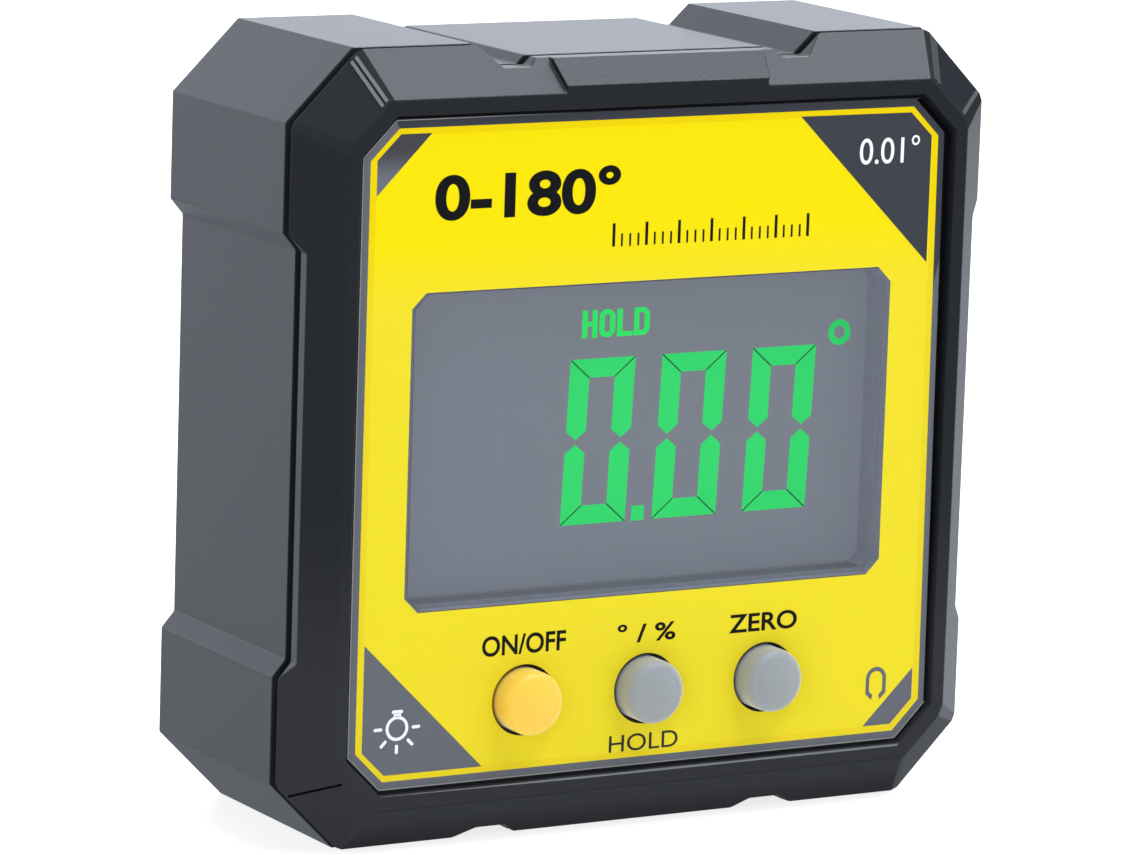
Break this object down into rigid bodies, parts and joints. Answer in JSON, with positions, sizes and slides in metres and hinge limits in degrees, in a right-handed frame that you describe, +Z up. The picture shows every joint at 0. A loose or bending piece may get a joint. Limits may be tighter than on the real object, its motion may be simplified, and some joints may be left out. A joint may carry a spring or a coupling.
{
  "type": "digital angle gauge",
  "caption": "Square angle gauge with cut corners, a lit segment display, push keys on a sunk faceplate, a magnetic base and a tilting battery door.",
  "frame": {"origin": "middle of the magnetic base's flat underside, half way between the bezel's face and the back", "axes": "+X right as seen from the front, +Y from the face to the back, +Z up"},
  "size_m": [0.06, 0.0244, 0.06],
  "materials": {
    "housing": "fine satin moulded plastic",
    "seal": "matte",
    "label": "satin printed film",
    "lens": "clear polished",
    "display_frame": "matte",
    "display": "satin polariser film",
    "diffuser": "satin",
    "board": "solder mask",
    "chip": "matte",
    "power_key": "satin",
    "grey_key": "satin",
    "magnet": "nickel plated",
    "cell": "gloss sleeve",
    "contact": "nickel plated",
    "screw": "zinc plated"
  },
  "bodies": {
    "case": {"rear_housing": "housing", "front_bezel": "housing", "housing_gasket": "seal", "face_label": "label", "display_lens": "lens", "lcd_frame": "display_frame", "lcd_glass": "display", "lcd_backlight": "diffuser", "lcd_connector": "seal", "main_board": "board", "microcontroller": "chip", "tilt_sensor": "chip", "power_switch": "chip", "mode_switch": "chip", "zero_switch": "chip", "magnet_left": "magnet", "magnet_right": "magnet", "battery_upper": "cell", "battery_lower": "cell", "spring_upper": "contact", "spring_lower": "contact", "bridge_contact": "contact", "spring_terminal": "contact", "button_terminal": "contact", "case_screws": "screw", "board_screws": "screw"},
    "power_key": {"power_button": "power_key", "power_plunger": "diffuser"},
    "mode_key": {"mode_button": "grey_key", "mode_plunger": "diffuser"},
    "zero_key": {"zero_button": "grey_key", "zero_plunger": "diffuser"},
    "door": {"battery_door": "housing"}
  },
  "joints": [
    {"name": "power_press", "type": "slide", "parent": "case", "child": "power_key", "axis": [0, 1, 0], "range_m": [0, 0.0005], "stiffness_N_per_m": 400},
    {"name": "mode_press", "type": "slide", "parent": "case", "child": "mode_key", "axis": [0, 1, 0], "range_m": [0, 0.0005], "stiffness_N_per_m": 400},
    {"name": "zero_press", "type": "slide", "parent": "case", "child": "zero_key", "axis": [0, 1, 0], "range_m": [0, 0.0005], "stiffness_N_per_m": 400},
    {"name": "door_tilt", "type": "hinge", "parent": "case", "child": "door", "pos_m": [0, 0.01125, 0.04095], "axis": [1, 0, 0], "range_deg": [0, 75]}
  ]
}
